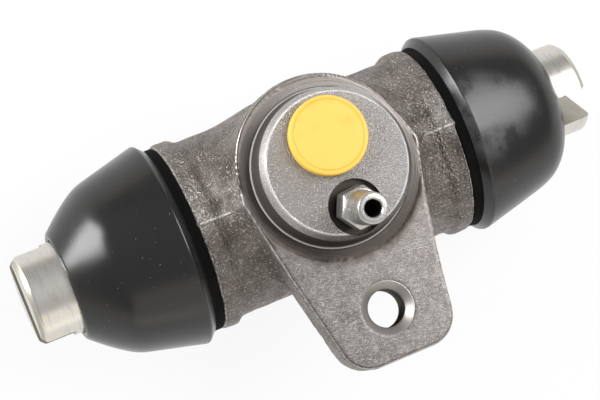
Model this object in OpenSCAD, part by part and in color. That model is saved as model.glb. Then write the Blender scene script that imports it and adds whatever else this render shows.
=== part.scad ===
// Drum-brake wheel cylinder with two slotted pistons, a pilot boss and a bolting lug.
// Millimetres. X runs along the bore, +Z is the mounting side, the lug points to -Y.

/* [Casting] */
// Distance of the bore axis below the mounting face
axis_depth = 21.7; // [20:0.1:24]
// Distance of the bore axis from the pilot centre, towards the lug
bore_offset = 1.3; // [0:0.1:3]
// Bore diameter
bore_d = 23.81; // [19:0.01:25.4]
// Outside diameter of the barrel
barrel_d = 35; // [33:0.2:36]
// Distance between the outer faces of the two end lips
lip_span = 51.8; // [48:0.2:60]
// Outside diameter of the end lips
lip_d = 37.4; // [37:0.2:39]
// Width of an end lip
lip_w = 3.4; // [3:0.2:5]
// Length of the neck that carries a boot, past the lip
neck_l = 4.6; // [4:0.2:6]
// Diameter of the neck
neck_d = 31.2; // [30:0.2:32]

/* [Mounting side] */
// Diameter of the round top of the boss
boss_d = 32.6; // [31.4:0.2:33]
// Distance of the centre of that round top from the pilot centre, away from the lug
boss_rise = 1.6; // [1:0.1:2]
// Width of the boss across the parting line of the casting
boss_w = 34.8; // [34.2:0.2:36]
// Diameter of the pilot that enters the backing plate
pilot_d = 28; // [27.8:0.1:28.8]
// Height of the pilot
pilot_h = 6.7; // [6:0.1:7.4]
// Width of the lead-in chamfer on the rim of the pilot
pilot_chamfer = 1; // [0.6:0.05:1.2]
// Depth of that chamfer
pilot_chamfer_h = 1.75; // [1:0.05:2]
// Reach of the lug from the pilot centre
lug_reach = 37; // [35:0.2:42]
// Width of the lug at its end
lug_end_w = 22.6; // [18:0.2:24]
// Corner radius of the lug
lug_corner_r = 6; // [4:0.5:8]
// How far the lug's right edge is drawn in
lug_waist = 0.7; // [0:0.1:1]
// Thickness of the lug
lug_t = 7.5; // [7:0.5:9]
// Distance of the bolt hole from the pilot centre
bolt_pitch = 27.5; // [26:0.1:29]
// Tapping diameter of the bolt hole
bolt_d = 7; // [6:0.1:8.4]
// Diameter of the chamfer at the mouth of the bolt hole
bolt_mouth_d = 9.7; // [9:0.1:12]

/* [Port and plug] */
// Distance of the brake-pipe port from the pilot centre
port_y = 5; // [4.8:0.1:5.4]
// Diameter of the port
port_d = 9.1; // [8.5:0.1:9.6]
// Depth of the port below the top of the pilot
port_depth = 12; // [11.4:0.2:13]
// Diameter of the plug's head
plug_head_d = 14.5; // [13:0.1:14.8]
// Height of the plug's head
plug_head_h = 1.8; // [1.2:0.1:2.6]
// Length of the plug's stem
plug_stem_l = 7; // [5:0.2:8]

/* [Bleed screw] */
// Distance of the bleed screw from the pilot centre
bleed_y = -8.3; // [-8.5:0.1:-8.1]
// Lean of the bleed screw towards the lug, degrees
bleed_lean = 8.5; // [4:0.5:10]
// Diameter of the counterbore
bleed_recess_d = 10.2; // [9.8:0.1:10.4]
// Depth of the counterbore below the top of the pilot
bleed_recess_h = 2; // [1.4:0.1:2.4]
// Gap between the counterbore's floor and the hexagon
bleed_stand = 1.4; // [0.4:0.1:2]
// Turn of the hexagon, degrees
bleed_turn = 6; // [0:1:60]
// Width of the hexagon across flats
bleed_hex_w = 7; // [6:0.1:7.4]
// Height of the hexagon
bleed_hex_h = 4.8; // [3.5:0.1:6]
// Length of the nipple above the hexagon
bleed_nipple_l = 7; // [6:0.2:9]
// Diameter of the nipple at its tip
bleed_tip_d = 5.8; // [5.2:0.1:6]
// Diameter of the drilling through the nipple
bleed_drill_d = 3.2; // [1.6:0.1:3.4]
// Diameter of the threaded shank
bleed_shank_d = 6; // [5:0.1:6.4]
// Length of the threaded shank
bleed_shank_l = 9; // [8.4:0.2:10]

/* [Pistons] */
// Diameter of the piston nose
nose_d = 18; // [17:0.1:18.4]
// Distance of the right nose's end from the middle of the body
nose_reach = 56.3; // [55:0.2:58]
// How much further out the left piston stands
left_out = 2; // [0:0.2:4]
// Length of the piston head
head_l = 12; // [10:0.5:14]
// Chamfer on the end of the nose
nose_chamfer = 0.9; // [0.5:0.1:1.5]
// Width of the shoe slot
slot_w = 6.2; // [5:0.1:7]
// Depth of the shoe slot
slot_depth = 6.4; // [5:0.2:8]
// Turn of the left piston's slot out of the shoe plane, degrees
left_turn = 0; // [-90:1:90]
// Turn of the right piston's slot out of the shoe plane, degrees
right_turn = -57; // [-90:1:90]

/* [Seals and spring] */
// Length of a cup seal
cup_l = 5.6; // [4.5:0.1:7]
// Depth of the hollow in a cup seal
cup_hollow = 3.6; // [2:0.1:4.2]
// Length of a cup expander past the cup's mouth
expander_l = 2; // [1.5:0.1:3]
// Wire diameter of the return spring
wire_d = 1.2; // [0.8:0.1:1.5]
// Mean diameter of the return spring
spring_d = 12; // [9:0.5:14]
// Turns of the return spring
spring_turns = 5; // [4:1:7]

/* [Boots] */
// Length of a boot past the end lip
boot_l = 24.2; // [23.6:0.1:26]
// Diameter of the boot's rim
boot_rim_d = 39.8; // [39.4:0.2:42]
// Diameter of the boot's collar beside the lip
boot_collar_d = 36.4; // [35:0.2:37]
// Width of the collar
boot_collar_w = 1.9; // [1.6:0.1:3]
// Thickness of the rubber
boot_wall = 1.8; // [1.4:0.1:2.2]

/* [Hidden] */
$fn = 96;
// Running clearance of the pistons and the seals
fit = 0.05;
// Gap between the nose and the mouth of a boot
mouth_gap = 0.25;
// Small gap where pieces of one body seat on each other
seat = 0.03;
// How far a cutter runs past the face it opens
overcut = 1;
bore_r = bore_d / 2;
lip_x = lip_span / 2;
neck_r = neck_d / 2;
body_end = lip_x + neck_l;
neck_edge = 0.5;
groove_depth = 1;
groove_w = 1.8;
groove_x = lip_x + (neck_l - groove_w) / 2;
lip_round = 1.3;
lip_edge = 0.5;
cast_fillet = 2.4;
curve_steps = 6;
boss_r = boss_d / 2;
boss_draft = 0.8;
parting_y = -0.7;
corner_x = lug_end_w / 2 - lug_corner_r;
corner_y = lug_corner_r - lug_reach;
bolt_chamfer_h = (bolt_mouth_d - bolt_d) / 2;
port_r = port_d / 2;
passage_r = 1.5;
passage_l = 9;
recess_floor = pilot_h - bleed_recess_h;
shank_r = bleed_shank_d / 2;
seat_cone_l = 1.6;
bleed_passage_r = 1.1;
bleed_cross_r = 0.7;
nipple_root_r = 3.15;
drill_r = bleed_drill_d / 2;
nose_r = nose_d / 2;
head_r = bore_r - fit;
head_in = body_end - 1.2 - head_l;
cup_in = head_in - seat - cup_l;
cup_r = bore_r - 0.03;
cup_lip = 1.6;
expander_rim_r = bore_r - cup_lip - 0.3;
sheet = 0.8;
expander_in = cup_in - expander_l;
spring_left = -(expander_in + left_out) + seat + wire_d / 2;
spring_right = expander_in - seat - wire_d / 2;
spring_steps = 20;
wire_sides = 8;
rim_r = boot_rim_d / 2;
collar_r = boot_collar_d / 2;
mouth_r = nose_r + mouth_gap;
bevel_w = 1.4;
skirt_share = 0.674;
skirt_drop = 3.1;
front_drop = 2.4;
front_round = 3;
mouth_land = 1.4;
mouth_lip = 1.3;

// Quarter arc about c from angle a to angle b
function arc(c, r, a, b) =
    [for (i = [0:curve_steps])
        let (turn = a + (b - a) * i / curve_steps)
        c + r * [cos(turn), sin(turn)]];

// Quadratic curve from p to q, pulled towards m
function bend(p, m, q) =
    [for (i = [0:curve_steps])
        let (t = i / curve_steps)
        (1 - t) * (1 - t) * p + 2 * t * (1 - t) * m + t * t * q];

// Moves what it is given from the origin to the middle of the bore
module on_bore() {
    translate([0, -bore_offset, -axis_depth])
        children();
}

// Turns a profile of [radius, distance] points about the bore axis, outwards to the right
module about_bore(points) {
    on_bore()
        rotate([0, 90, 0])
            rotate_extrude()
                polygon(points);
}

// Repeats what it is given at the left end
module at_left(out = 0) {
    translate([-out, 0, 0])
        mirror([1, 0, 0])
            children();
}

// Where a line from the point p touches the circle about c, on its left (turn 1) or right (-1);
// a hair inside the circle, so that line and circle cross
function touch(p, c, r, turn) =
    let (a = atan2(p[1] - c[1], p[0] - c[0]) + turn * acos((r - seat) / norm(p - c)))
    c + (r - seat) * [cos(a), sin(a)];

// Round boss, widest at the parting line, running out into the lug
module boss_outline() {
    waist = [boss_w / 2, parting_y];
    top = touch(waist, [0, boss_rise], boss_r, 1);
    foot = touch(waist, [corner_x, corner_y], lug_corner_r, -1);
    middle = (waist + foot) / 2 - [2 * lug_waist, 0];
    translate([0, boss_rise])
        circle(r = boss_r);
    for (side = [-1, 1])
        translate([side * corner_x, corner_y])
            circle(r = lug_corner_r);
    polygon(concat([[0, boss_rise], top], bend(waist, middle, foot),
                   [[corner_x, -lug_reach], [-corner_x, -lug_reach],
                    [-foot[0], foot[1]], [-waist[0], waist[1]], [-top[0], top[1]]]));
}

// Half of the barrel: wall, end lip and the grooved neck that holds a boot
module barrel_half() {
    barrel_r = barrel_d / 2;
    lip_r = lip_d / 2;
    lip_back = lip_x - lip_w;
    step_r = (barrel_r + lip_r) / 2;
    about_bore(concat(
        [[0, 0], [barrel_r, 0]],
        bend([barrel_r, lip_back - cast_fillet], [barrel_r, lip_back], [step_r, lip_back]),
        bend([step_r + 0.01, lip_back], [lip_r, lip_back], [lip_r, lip_back + lip_round]),
        [[lip_r, lip_x - lip_edge], [lip_r - lip_edge, lip_x], [neck_r, lip_x],
         [neck_r, groove_x], [neck_r - groove_depth, groove_x],
         [neck_r - groove_depth, groove_x + groove_w], [neck_r, groove_x + groove_w],
         [neck_r, body_end - neck_edge], [neck_r - neck_edge, body_end], [0, body_end]]));
}

module pilot() {
    pilot_r = pilot_d / 2;
    rotate_extrude()
        polygon([[0, -1], [pilot_r, -1], [pilot_r, pilot_h - pilot_chamfer_h],
                 [pilot_r - pilot_chamfer, pilot_h], [0, pilot_h]]);
}

// Places a piece on the leaning axis of the bleed screw, with z = 0 on the counterbore's floor
module on_bleed_axis() {
    translate([0, bleed_y, recess_floor])
        rotate([bleed_lean, 0, 0])
            children();
}

module bolt_hole() {
    translate([0, -bolt_pitch, -lug_t - overcut])
        cylinder(r = bolt_d / 2, h = lug_t + 2 * overcut);
    translate([0, -bolt_pitch, -bolt_chamfer_h])
        cylinder(r1 = bolt_d / 2, r2 = bolt_mouth_d / 2 + overcut, h = bolt_chamfer_h + overcut);
}

module port_hole() {
    translate([0, port_y, pilot_h - port_depth])
        cylinder(r = port_r, h = port_depth + overcut);
    translate([0, port_y, pilot_h - port_depth - passage_l])
        cylinder(r = passage_r, h = passage_l + overcut);
}

module bleed_hole() {
    on_bleed_axis() {
        cylinder(r = bleed_recess_d / 2, h = bleed_recess_h + 2 * overcut);
        translate([0, 0, -bleed_shank_l])
            cylinder(r = shank_r + fit, h = bleed_shank_l + overcut);
        translate([0, 0, -bleed_shank_l - seat_cone_l])
            cylinder(r1 = bleed_passage_r, r2 = shank_r + fit, h = seat_cone_l + 0.01);
        translate([0, 0, -bleed_shank_l - passage_l])
            cylinder(r = bleed_passage_r, h = passage_l);
    }
}

module cylinder_body() {
    color([0.55, 0.54, 0.52])
        difference() {
            union() {
                barrel_half();
                at_left() barrel_half();
                translate([0, boss_rise, -axis_depth])
                    cylinder(r = boss_r - boss_draft, h = axis_depth - 1);
                translate([0, 0, -lug_t])
                    linear_extrude(lug_t)
                        boss_outline();
                pilot();
            }
            on_bore()
                rotate([0, 90, 0])
                    cylinder(r = bore_r, h = 2 * (body_end + overcut), center = true);
            bolt_hole();
            port_hole();
            bleed_hole();
        }
}

// Piston for the right end: head in the bore, nose through the boot, slot across the nose
module piston(turn) {
    root = 1;
    head_edge = 0.6;
    head_out = head_in + head_l;
    color([0.72, 0.70, 0.62])
        difference() {
            about_bore(concat(
                [[0, head_in], [head_r - head_edge, head_in], [head_r, head_in + head_edge],
                 [head_r, head_out - head_edge], [head_r - head_edge, head_out]],
                arc([nose_r + root, head_out + root], root, 270, 180),
                [[nose_r, nose_reach - nose_chamfer], [nose_r - nose_chamfer, nose_reach],
                 [0, nose_reach]]));
            on_bore()
                rotate([turn, 0, 0])
                    translate([nose_reach - slot_depth, -nose_d, -slot_w / 2])
                        cube([slot_depth + overcut, 2 * nose_d, slot_w]);
        }
}

module right_piston() {
    piston(right_turn);
}

module left_piston() {
    at_left(left_out) piston(left_turn);
}

// Rubber cup with its hollow towards the middle of the cylinder
module cup() {
    color([0.09, 0.09, 0.09])
        about_bore([[0, head_in - seat], [cup_r - 0.5, head_in - seat], [cup_r, head_in - seat - 1],
                    [cup_r, cup_in + 0.3], [cup_r - 0.3, cup_in], [cup_r - cup_lip + 0.6, cup_in],
                    [expander_rim_r + 0.2, cup_in + 0.8], [expander_rim_r + 0.2, cup_in + cup_hollow],
                    [0, cup_in + cup_hollow]]);
}

module right_cup() {
    cup();
}

module left_cup() {
    at_left(left_out) cup();
}

// Pressed dish: its rim presses the cup's lip, its floor carries the spring
module expander() {
    dish_r = spring_d / 2 + wire_d;
    floor_x = cup_in + cup_hollow - seat;
    flare_x = cup_in + 1.4;
    inside_shift = 0.2;
    color([0.66, 0.65, 0.60])
        about_bore([[0, expander_in], [dish_r, expander_in], [expander_rim_r, flare_x],
                    [expander_rim_r, floor_x], [expander_rim_r - sheet, floor_x],
                    [expander_rim_r - sheet, flare_x + inside_shift],
                    [dish_r - 2 * inside_shift, expander_in + sheet], [0, expander_in + sheet]]);
}

module right_expander() {
    expander();
}

module left_expander() {
    at_left(left_out) expander();
}

// Round wire wound from the left expander to the right one
module return_spring() {
    count = spring_turns * spring_steps;
    run = spring_right - spring_left;
    function at(i, j) =
        let (a = 360 * i / spring_steps, b = 360 * j / wire_sides,
             r = spring_d / 2 + wire_d / 2 * cos(b))
        [spring_left + run * i / count + wire_d / 2 * sin(b), r * cos(a), r * sin(a)];
    points = [for (i = [0:count]) for (j = [0:wire_sides - 1]) at(i, j)];
    walls = [for (i = [0:count - 1]) for (j = [0:wire_sides - 1])
        let (k = (j + 1) % wire_sides)
        [i * wire_sides + j, i * wire_sides + k, (i + 1) * wire_sides + k, (i + 1) * wire_sides + j]];
    first = [for (j = [wire_sides - 1:-1:0]) j];
    last = [for (j = [0:wire_sides - 1]) count * wire_sides + j];
    color([0.45, 0.45, 0.46])
        on_bore()
            polyhedron(points = points, faces = concat([first, last], walls), convexity = 10);
}

// Boot for the right end: collar on the neck, bevelled rim, skirt and rounded front with its mouth
module boot() {
    back = lip_x + seat;
    bevel_x = lip_x + boot_collar_w;
    rim_x = bevel_x + bevel_w;
    skirt_x = lip_x + skirt_share * boot_l;
    skirt_r = rim_r - skirt_drop;
    front = lip_x + boot_l;
    front_r = mouth_r + mouth_lip;
    hold_r = neck_r + seat;
    bead_gap = 0.2;
    bend_at = [skirt_r - front_drop, front - front_round];
    color([0.07, 0.07, 0.07])
        about_bore(concat(
            [[hold_r, back], [collar_r, back], [collar_r, bevel_x], [rim_r - 0.4, rim_x - 0.2],
             [rim_r, rim_x + 0.3]],
            bend([skirt_r, skirt_x], bend_at, [front_r, front]),
            [[mouth_r + 0.3, front], [mouth_r, front - 0.3], [mouth_r, front - mouth_land]],
            bend([front_r - 0.4, front - mouth_land], bend_at - [boot_wall, boot_wall],
                 [skirt_r - boot_wall, skirt_x - 0.4]),
            [[rim_r - boot_wall - 0.6, rim_x + 0.8], [hold_r, body_end + 0.3],
             [hold_r, groove_x + groove_w - bead_gap],
             [hold_r - groove_depth + bead_gap, groove_x + groove_w - bead_gap],
             [hold_r - groove_depth + bead_gap, groove_x + bead_gap], [hold_r, groove_x + bead_gap]]));
}

module right_boot() {
    boot();
}

module left_boot() {
    at_left() boot();
}

// Screw seated on its cone: shank, hexagon held off the counterbore's floor, tapered nipple
module bleed_screw() {
    hex_r = bleed_hex_w / 2 / cos(30);
    hex_edge = 0.6;
    tip_r = bleed_tip_d / 2;
    tip_round = 0.4;
    hex_top = bleed_stand + bleed_hex_h;
    top = hex_top + bleed_nipple_l;
    point = -bleed_shank_l - seat_cone_l * 0.6;
    cross_rise = 2;
    cross_z = cross_rise - bleed_shank_l;
    color([0.78, 0.76, 0.68])
        on_bleed_axis()
            difference() {
                union() {
                    translate([0, 0, bleed_stand])
                        rotate([0, 0, bleed_turn])
                            intersection() {
                                cylinder(r = hex_r, h = bleed_hex_h, $fn = 6);
                                cylinder(r1 = hex_r + bleed_hex_h - hex_edge, r2 = hex_r - hex_edge,
                                         h = bleed_hex_h);
                            }
                    rotate_extrude()
                        polygon([[0, point], [bleed_passage_r + 0.1, point],
                                 [shank_r - 0.4, -bleed_shank_l + 0.3], [shank_r, -bleed_shank_l + 0.9],
                                 [shank_r, bleed_stand + 1], [nipple_root_r - 0.1, bleed_stand + 1],
                                 [nipple_root_r, hex_top], [tip_r, top - tip_round],
                                 [tip_r - tip_round, top], [0, top]]);
                }
                translate([0, 0, cross_z])
                    cylinder(r = bleed_cross_r, h = top + bleed_shank_l);
                translate([0, 0, hex_top])
                    cylinder(r = drill_r, h = top);
                translate([0, 0, cross_z + bleed_cross_r])
                    rotate([90, 0, 0])
                        cylinder(r = bleed_cross_r, h = 2 * (shank_r + overcut), center = true);
            }
}

// Shipping plug: domed head with a shallow ring groove and a hollow stem
module port_plug() {
    head_r = plug_head_d / 2;
    stem_r = port_r - fit;
    top = pilot_h + seat + plug_head_h;
    foot = pilot_h + seat - plug_stem_l;
    ring_r = head_r - 0.75;
    ring_depth = 0.2;
    plug_wall = 1.4;
    roof = 1.2;
    color([0.97, 0.80, 0.22])
        translate([0, port_y, 0])
            rotate_extrude()
                polygon([[0, top], [ring_r - 0.3, top], [ring_r - 0.15, top - ring_depth],
                         [ring_r, top - ring_depth], [ring_r + 0.1, top], [head_r - 0.3, top],
                         [head_r, top - 0.3], [head_r, pilot_h + seat], [stem_r, pilot_h + seat],
                         [stem_r, foot + 0.6], [stem_r - 0.5, foot], [stem_r - plug_wall, foot],
                         [stem_r - plug_wall, top - roof], [0, top - roof]]);
}

cylinder_body();
left_piston();
right_piston();
left_cup();
right_cup();
left_expander();
right_expander();
return_spring();
left_boot();
right_boot();
bleed_screw();
port_plug();
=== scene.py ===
import math

import bpy
import numpy as np
from mathutils import Matrix, Vector


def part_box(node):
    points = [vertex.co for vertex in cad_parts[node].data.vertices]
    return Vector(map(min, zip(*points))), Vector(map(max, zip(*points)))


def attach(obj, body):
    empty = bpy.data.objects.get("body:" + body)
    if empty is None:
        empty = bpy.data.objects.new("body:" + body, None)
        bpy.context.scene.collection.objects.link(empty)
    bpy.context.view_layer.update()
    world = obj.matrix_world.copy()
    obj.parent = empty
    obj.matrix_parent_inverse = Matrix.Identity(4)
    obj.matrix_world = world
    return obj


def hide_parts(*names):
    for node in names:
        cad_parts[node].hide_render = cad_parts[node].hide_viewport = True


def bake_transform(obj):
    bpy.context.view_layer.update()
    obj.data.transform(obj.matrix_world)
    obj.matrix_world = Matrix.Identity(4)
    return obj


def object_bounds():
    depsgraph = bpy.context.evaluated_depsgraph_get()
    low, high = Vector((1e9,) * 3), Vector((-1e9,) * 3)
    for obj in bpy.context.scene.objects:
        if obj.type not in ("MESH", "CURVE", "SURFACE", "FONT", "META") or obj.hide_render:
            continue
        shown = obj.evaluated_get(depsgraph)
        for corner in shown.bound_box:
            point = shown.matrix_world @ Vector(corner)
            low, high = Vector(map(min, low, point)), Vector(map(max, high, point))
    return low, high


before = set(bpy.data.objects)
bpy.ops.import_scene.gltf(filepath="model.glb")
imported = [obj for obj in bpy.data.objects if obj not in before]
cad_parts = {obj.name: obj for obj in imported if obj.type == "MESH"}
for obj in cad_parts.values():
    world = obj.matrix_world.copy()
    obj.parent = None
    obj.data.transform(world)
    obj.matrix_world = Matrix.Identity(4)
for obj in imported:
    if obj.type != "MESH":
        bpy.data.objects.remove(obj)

cad_low, cad_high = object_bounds()
MM = 0.001


# Cylinder body: one grey-iron casting, shot-blasted and left raw, with a bored barrel.
# The boss and the lug grow out of the barrel in soft cast fillets; the face of the lug is
# ground, and the pilot, the ring round it, the drillings and the bore are machined.
bore_y, bore_z = -1.3, -21.7
bore_r, barrel_r, lip_r, neck_r = 11.905, 17.5, 18.45, 15.6
lip_x, lip_w, neck_x = 25.9, 3.4, 30.5
boss_r, boss_x, boss_rise, boss_draft, lug_t = 16.4, -0.55, 1.4, 0.8, 7.5
boss_corner, boss_corner_r, parting_y = 17.25, 0.2, -0.7
lug_corner, lug_corner_r, lug_waist = (5.3, -31.0), 6.0, 0.7
pilot_r, pilot_h, pilot_root = 14.0, 6.7, 0.85
chamfer_w, chamfer_h = 1.0, 1.75
ring_r, ring_depth = 17.0, 0.12
port_y, port_r, port_floor = 5.0, 4.55, -5.3
bleed_y, bleed_floor, bleed_lean = -8.3, 4.7, math.radians(8.5)
recess_r, shank_r, shank_l = 5.1, 3.05, 9.0
bolt_y, bolt_r, bolt_mouth_r = -27.5, 3.5, 4.75
lip_round, lip_fillet, root_fillet, plate_round = 0.7, 1.7, 5.5, 0.4
seam_h, seam_step, axis_r = 0.25, 0.07, 0.02
grid_step, kept_faces = 0.36, 0.65
# Height in millimetres, cells across and seed of the mould's coarse and fine unevenness
mould_lumps = ((0.09, 7, 3), (0.06, 3, 5))


def melt(a, b, reach):
    """Union of two solids with a fillet of about that reach between them."""
    h = np.clip(0.5 + 0.5 * (b - a) / reach, 0, 1)
    return b * (1 - h) + a * h - reach * h * (1 - h)


def cut(a, b, reach=0.3):
    """Takes b out of a, with the edge broken by about that reach."""
    return -melt(-a, b, reach)


def rounded(u, v, radius):
    """Joins two limits into one solid whose common edge is rounded."""
    u, v = u + radius, v + radius
    return np.hypot(np.maximum(u, 0), np.maximum(v, 0)) + np.minimum(np.maximum(u, v), 0) - radius


def lug_outline(x, y):
    """Distance to the outline that wraps the boss and the two corners of the lug."""
    cx, cy = lug_corner
    circles = [(boss_x, boss_rise, boss_r)]
    for side in (1, -1):
        circles += [(side * boss_corner, parting_y, boss_corner_r), (side * cx, cy, lug_corner_r)]
    best = np.full(np.broadcast(x, y).shape, -1e9)
    for turn in np.linspace(0, 2 * math.pi, 240, endpoint=False):
        nx, ny = math.cos(turn), math.sin(turn)
        reach = max(nx * a + ny * b + r for a, b, r in circles)
        best = np.maximum(best, nx * x + ny * y - reach)
    share = np.clip((parting_y - y) / (parting_y - cy), 0, 1)
    return best + 4 * lug_waist * share * (1 - share) * np.clip(x / 6, 0, 1)


def lumps(shape, cell, seed):
    """Smooth random unevenness between -1 and 1 over a grid, in lumps of so many cells."""
    rng = np.random.default_rng(seed)
    out = rng.uniform(-1, 1, [n // cell + 3 for n in shape])
    for axis, n in enumerate(shape):
        at = np.arange(n) / cell
        low = at.astype(int)
        part = (at - low).reshape([-1 if k == axis else 1 for k in range(3)])
        part = part * part * (3 - 2 * part)
        out = np.take(out, low, axis) * (1 - part) + np.take(out, low + 1, axis) * part
    return out


def casting_field(x, y, z):
    """Signed distance to the body below its pilot, in millimetres, over a grid of points."""
    off = np.hypot(y - bore_y, z - bore_z)
    along = np.abs(x)
    barrel = np.maximum(off - barrel_r, along - lip_x + 1)
    lip = rounded(off - lip_r, np.abs(along - lip_x + lip_w / 2) - lip_w / 2, lip_round)
    barrel = melt(barrel, lip, lip_fillet)
    outline = lug_outline(x[:, :, :1], y[:, :, :1])
    thick = lug_t + 0.05 * np.clip(y + 28, -9, 12)
    plate = rounded(np.broadcast_to(outline, x.shape), np.abs(z + thick / 2) - thick / 2, plate_round)
    pedestal = np.hypot(x - boss_x, y - boss_rise) - boss_r + boss_draft
    pedestal = np.maximum(pedestal, np.maximum(bore_z - z, z + 1))
    solid = melt(np.minimum(plate, pedestal), barrel, root_fillet)
    # Unevenness of the sand mould, its parting line and the slight step across it
    below = z < -1
    seam = np.exp(-(((y - parting_y) / 0.35) ** 2)) * (np.abs(z - bore_z) > barrel_r * 0.6)
    solid = solid - (seam_h * seam + seam_step * np.tanh((y - parting_y) / 0.3)) * below
    sand = sum(height * lumps(x.shape, cell, seed) for height, cell, seed in mould_lumps)
    solid = solid + sand * np.where(below, 1, 0.25)
    centre = np.hypot(x, y)
    solid = cut(solid, np.maximum(centre - ring_r, -ring_depth - z), 0.2)
    solid = np.minimum(solid, np.maximum(off - neck_r, along - neck_x))
    port = np.hypot(x, y - port_y)
    solid = cut(solid, np.maximum(port - port_r, port_floor - z))
    py, pz = y - bleed_y, z - bleed_floor
    up = pz * math.cos(bleed_lean) - py * math.sin(bleed_lean)
    shank = np.sqrt(np.maximum(x * x + py * py + pz * pz - up * up, 0))
    solid = cut(solid, np.maximum(shank - shank_r, -shank_l - up))
    solid = cut(solid, np.hypot(x, y - bolt_y) - bolt_mouth_r, 0.15)
    return cut(solid, off - bore_r)


def skin(field, low, step):
    """Points and four-sided faces of the surface where a grid of distances passes zero."""
    inside = field < 0
    shape = tuple(n - 1 for n in field.shape)
    total = np.zeros(shape + (3,))
    hits = np.zeros(shape)
    for axis in range(3):
        for j in (0, 1):
            for k in (0, 1):
                near = np.insert([j, k], axis, 0)
                far = np.insert([j, k], axis, 1)
                a = field[tuple(slice(o, o + n) for o, n in zip(near, shape))]
                b = field[tuple(slice(o, o + n) for o, n in zip(far, shape))]
                crosses = (a < 0) != (b < 0)
                share = np.where(crosses, a / np.where(crosses, a - b, 1), 0)
                hits += crosses
                for d in range(3):
                    total[..., d] += crosses * (share if d == axis else near[d])
    used = np.nonzero(hits)
    points = low + step * (np.stack(used, 1) + total[used] / hits[used][:, None])
    number = np.full(shape, -1)
    number[used] = np.arange(len(points))
    faces = []
    for axis in range(3):
        j, k = [d for d in range(3) if d != axis]
        core = [slice(None)] * 3
        core[j] = core[k] = slice(1, -1)
        a = inside[tuple(slice(None, -1) if d == axis else core[d] for d in range(3))]
        b = inside[tuple(slice(1, None) if d == axis else core[d] for d in range(3))]
        at = np.stack(np.nonzero(a != b), 1)
        out = a[tuple(at.T)] ^ (axis == 1)
        corners = []
        for dj, dk in ((0, 0), (1, 0), (1, 1), (0, 1)):
            cell = at.copy()
            cell[:, j] += dj
            cell[:, k] += dk
            corners.append(number[tuple(cell.T)])
        quad = np.stack(corners, 1)
        faces.append(np.where(out[:, None], quad, quad[:, ::-1]))
    return points, np.concatenate(faces)


def solid_piece(name, points, faces, crease=180):
    """A smooth mesh object from points in millimetres, with edges sharper than crease kept."""
    mesh = bpy.data.meshes.new(name)
    mesh.from_pydata((np.asarray(points) * MM).tolist(), [], [list(map(int, f)) for f in faces])
    mesh.shade_smooth()
    if crease < 180:
        mesh.set_sharp_from_angle(angle=math.radians(crease))
    piece = bpy.data.objects.new(name, mesh)
    bpy.context.scene.collection.objects.link(piece)
    return piece


def settle(piece):
    """Makes the modifiers of a piece part of its mesh."""
    shown = piece.evaluated_get(bpy.context.evaluated_depsgraph_get())
    mesh = bpy.data.meshes.new_from_object(shown)
    piece.modifiers.clear()
    piece.data = mesh


grid_low = np.array([-neck_x - 1, lug_corner[1] - lug_corner_r - 1, bore_z - lip_r - 1])
grid_high = np.array([neck_x + 1, boss_rise + boss_r + 1, 1])
axes = [np.arange(a, b, grid_step) for a, b in zip(grid_low, grid_high)]
grid = np.meshgrid(*axes, indexing="ij")
body_points, body_faces = skin(casting_field(*grid), grid_low, grid_step)
casting = solid_piece("casting", body_points, body_faces)
thin_out = casting.modifiers.new("thin_out", "DECIMATE")
thin_out.ratio = kept_faces
settle(casting)
px, py, pz = np.array([vertex.co for vertex in casting.data.vertices]).T / MM
rim = np.hypot(lug_outline(px, py) + 0.1, pz + 0.1)
lip_edge = np.hypot(np.hypot(py - bore_y, pz - bore_z) - lip_r + 0.15, np.abs(px) - lip_x + 0.15)
seam_top, gap_limit = -6, 5
gaps = {"edge_gap": np.minimum(rim, lip_edge),
        "seam_gap": np.hypot(py - parting_y, np.maximum(seam_top - pz, 0))}
for key, gap in gaps.items():
    layer = casting.data.attributes.new(key, "FLOAT", "POINT")
    layer.data.foreach_set("value", np.clip(gap, 0, gap_limit) * MM)


def lathe(name, profile, crease=35, steps=160):
    """Turns a closed profile of (distance, radius) pairs about the X axis."""
    count = len(profile)
    points = []
    for i in range(steps):
        a = 2 * math.pi * i / steps
        points += [(x, r * math.cos(a), r * math.sin(a)) for x, r in profile]
    faces = []
    for i in range(steps):
        j = (i + 1) % steps
        for k in range(count):
            m = (k + 1) % count
            faces.append((i * count + k, j * count + k, j * count + m, i * count + m))
    return solid_piece(name, points, faces, crease)


def curve(p, m, q, steps=14):
    """Points of a quadratic curve from p to q, pulled towards m."""
    p, m, q = (np.array(v, float) for v in (p, m, q))
    return [tuple((1 - t) ** 2 * p + 2 * t * (1 - t) * m + t * t * q) for t in np.linspace(0, 1, steps)]


def stand_up(piece, place):
    """Turns a piece made along X to point up, and puts its zero at a place in millimetres."""
    piece.data.transform(Matrix.Rotation(-math.pi / 2, 4, "Y"))
    piece.data.transform(Matrix.Translation(Vector(place) * MM))


def lean_in(piece):
    """Turns a piece made along X into the leaning bleed drilling, with its zero on the floor."""
    piece.data.transform(Matrix.Rotation(-math.pi / 2, 4, "Y"))
    piece.data.transform(Matrix.Rotation(bleed_lean, 4, "X"))
    piece.data.transform(Matrix.Translation(Vector((0, bleed_y, bleed_floor)) * MM))


def cut_away(piece, cutter, crease=30):
    """Takes one piece out of another for good and removes the cutter."""
    tool = piece.modifiers.new("cut", "BOOLEAN")
    tool.operation = "DIFFERENCE"
    tool.solver = "EXACT"
    tool.object = cutter
    settle(piece)
    bpy.data.objects.remove(cutter)
    piece.data.shade_smooth()
    piece.data.set_sharp_from_angle(angle=math.radians(crease))


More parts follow.
